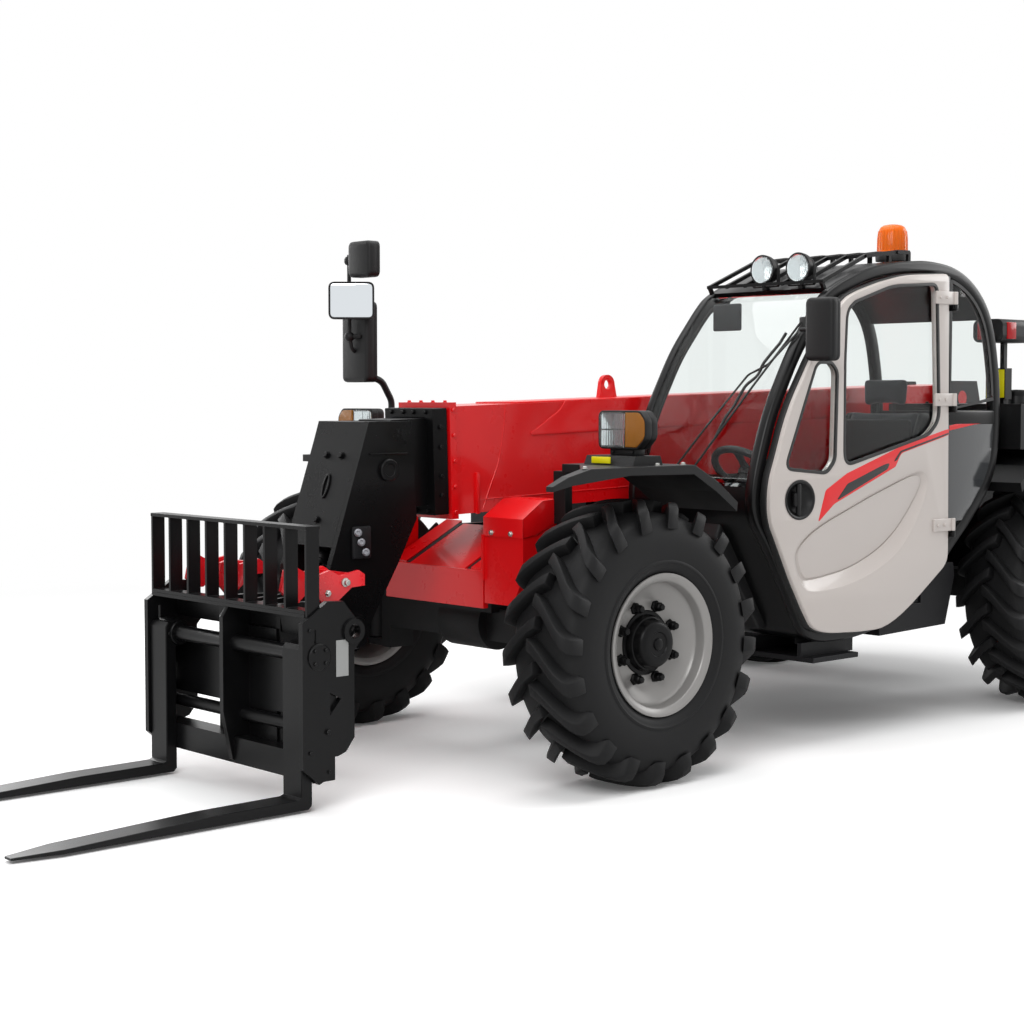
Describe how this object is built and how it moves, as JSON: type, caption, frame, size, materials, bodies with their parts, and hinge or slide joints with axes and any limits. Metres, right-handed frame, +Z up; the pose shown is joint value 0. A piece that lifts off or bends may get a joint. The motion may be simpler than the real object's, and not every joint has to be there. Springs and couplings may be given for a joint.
{
  "type": "telehandler",
  "caption": "Compact telescopic handler with a side cab, a sectioned boom, pallet forks on a tilting carriage and steered wheels with lugged tyres.",
  "frame": {"origin": "on the ground, on the mid-plane, halfway between the fork tips and the tail", "axes": "+Z up; the machine faces -Y; +X is its left, the cab side"},
  "size_m": [1.986, 5.4, 2.06],
  "materials": {
    "red_paint": "gloss",
    "black_paint": "satin",
    "hook_red": "gloss",
    "grey_paint": "satin",
    "door_beige": "satin",
    "glass": "clear tint",
    "fork_steel": "worn satin",
    "rim_silver": "satin",
    "tyre": "matte",
    "black_plastic": "matte",
    "clear_lens": "gloss",
    "amber_lens": "gloss",
    "red_lens": "gloss",
    "seat_fabric": "woven",
    "engine_iron": "rough",
    "chrome_rod": "polished"
  },
  "bodies": {
    "chassis": {"axles": "black_paint", "chassis_frame": "grey_paint", "nose_panels": "red_paint", "counterweight": "grey_paint", "mudguards": "black_plastic", "cab_frame": "black_paint", "cab_glass": "glass", "seat": "seat_fabric", "controls": "black_plastic", "roof_guard": "black_paint", "lamp_housings": "black_plastic", "lamp_lenses": "clear_lens", "beacon": "amber_lens", "mirrors": "black_plastic", "engine_bay": "grey_paint", "engine": "engine_iron", "side_tank": "grey_paint", "rear_cover": "black_plastic", "rear_lamps": "red_lens"},
    "boom_base": {"boom_outer": "red_paint"},
    "boom_middle": {"boom_mid": "black_paint"},
    "boom_tip": {"boom_inner": "black_paint", "boom_head": "black_paint"},
    "carriage": {"carriage_frame": "black_paint", "load_backrest": "black_paint", "coupler_hooks": "hook_red", "forks": "fork_steel"},
    "lift_cylinder_barrel": {"lift_barrel": "black_paint"},
    "lift_cylinder_rod": {"lift_rod": "chrome_rod"},
    "tilt_cylinder_barrel": {"tilt_barrel": "black_paint"},
    "tilt_cylinder_rod": {"tilt_rod": "chrome_rod"},
    "cab_door": {"door_panel": "door_beige", "door_glass": "glass"},
    "engine_bonnet": {"bonnet": "red_paint"},
    "knuckle_front_left_body": {"knuckle_front_left": "black_paint"},
    "wheel_front_left": {"tyre_front_left": "tyre", "rim_front_left": "rim_silver"},
    "knuckle_front_right_body": {"knuckle_front_right": "black_paint"},
    "wheel_front_right": {"tyre_front_right": "tyre", "rim_front_right": "rim_silver"},
    "knuckle_rear_left_body": {"knuckle_rear_left": "black_paint"},
    "wheel_rear_left": {"tyre_rear_left": "tyre", "rim_rear_left": "rim_silver"},
    "knuckle_rear_right_body": {"knuckle_rear_right": "black_paint"},
    "wheel_rear_right": {"tyre_rear_right": "tyre", "rim_rear_right": "rim_silver"}
  },
  "joints": [
    {"name": "boom_lift", "type": "hinge", "parent": "chassis", "child": "boom_base", "pos_m": [0, 2.37, 1.35], "axis": [-1, 0, 0], "range_deg": [0, 60]},
    {"name": "boom_extend", "type": "slide", "parent": "boom_base", "child": "boom_middle", "axis": [0, -0.9996, -0.0297], "range_m": [0, 1.6]},
    {"name": "boom_extend_tip", "type": "slide", "parent": "boom_middle", "child": "boom_tip", "axis": [0, -0.9996, -0.0297], "range_m": [0, 1.6]},
    {"name": "carriage_tilt", "type": "hinge", "parent": "boom_tip", "child": "carriage", "pos_m": [0, -1.28, 0.535], "axis": [-1, 0, 0], "range_deg": [-70, 12]},
    {"name": "lift_barrel_swing", "type": "hinge", "parent": "chassis", "child": "lift_cylinder_barrel", "pos_m": [0, 2.33, 0.718], "axis": [-1, 0, 0], "range_deg": [-1, 45.81]},
    {"name": "lift_rod_stroke", "type": "slide", "parent": "lift_cylinder_barrel", "child": "lift_cylinder_rod", "axis": [0, -0.978, 0.2085], "range_m": [-0.005, 0.5836]},
    {"name": "tilt_barrel_swing", "type": "hinge", "parent": "boom_tip", "child": "tilt_cylinder_barrel", "pos_m": [0, -1.09, 1.06], "axis": [-1, 0, 0], "range_deg": [-6.2, 1.89]},
    {"name": "tilt_rod_stroke", "type": "slide", "parent": "tilt_cylinder_barrel", "child": "tilt_cylinder_rod", "axis": [0, -0.5503, -0.835], "range_m": [-0.0299, 0.1504]},
    {"name": "cab_door_hinge", "type": "hinge", "parent": "chassis", "child": "cab_door", "pos_m": [0.906, 1.272, 1.2], "axis": [0, 0, 1], "range_deg": [0, 95]},
    {"name": "bonnet_hinge", "type": "hinge", "parent": "chassis", "child": "engine_bonnet", "pos_m": [0, 1.976, 1.342], "axis": [-1, 0, 0], "range_deg": [0, 55]},
    {"name": "steer_front_left", "type": "hinge", "parent": "chassis", "child": "knuckle_front_left_body", "pos_m": [0.62, -0.53, 0.5], "axis": [0, 0, 1], "range_deg": [-32, 32]},
    {"name": "steer_front_right", "type": "hinge", "parent": "chassis", "child": "knuckle_front_right_body", "pos_m": [-0.62, -0.53, 0.5], "axis": [0, 0, 1], "range_deg": [-32, 32]},
    {"name": "steer_rear_left", "type": "hinge", "parent": "chassis", "child": "knuckle_rear_left_body", "pos_m": [0.62, 2.11, 0.5], "axis": [0, 0, 1], "range_deg": [-32, 32]},
    {"name": "steer_rear_right", "type": "hinge", "parent": "chassis", "child": "knuckle_rear_right_body", "pos_m": [-0.62, 2.11, 0.5], "axis": [0, 0, 1], "range_deg": [-32, 32]},
    {"name": "spin_front_left", "type": "hinge", "parent": "knuckle_front_left_body", "child": "wheel_front_left", "pos_m": [0.83, -0.53, 0.5], "axis": [1, 0, 0], "continuous": true},
    {"name": "spin_front_right", "type": "hinge", "parent": "knuckle_front_right_body", "child": "wheel_front_right", "pos_m": [-0.83, -0.53, 0.5], "axis": [1, 0, 0], "continuous": true},
    {"name": "spin_rear_left", "type": "hinge", "parent": "knuckle_rear_left_body", "child": "wheel_rear_left", "pos_m": [0.83, 2.11, 0.5], "axis": [1, 0, 0], "continuous": true},
    {"name": "spin_rear_right", "type": "hinge", "parent": "knuckle_rear_right_body", "child": "wheel_rear_right", "pos_m": [-0.83, 2.11, 0.5], "axis": [1, 0, 0], "continuous": true}
  ],
  "couplings": [
    {"joint": "boom_extend_tip", "follows": "boom_extend", "ratio": 1},
    {"joint": "lift_barrel_swing", "follows": "boom_lift", "ratio": 0.7468},
    {"joint": "lift_rod_stroke", "follows": "boom_lift", "m_per_rad": 0.5525},
    {"joint": "tilt_barrel_swing", "follows": "carriage_tilt", "ratio": 0.0743},
    {"joint": "tilt_rod_stroke", "follows": "carriage_tilt", "m_per_rad": -0.119},
    {"joint": "steer_front_right", "follows": "steer_front_left", "ratio": 1},
    {"joint": "steer_rear_left", "follows": "steer_front_left", "ratio": -1},
    {"joint": "steer_rear_right", "follows": "steer_front_left", "ratio": -1}
  ]
}
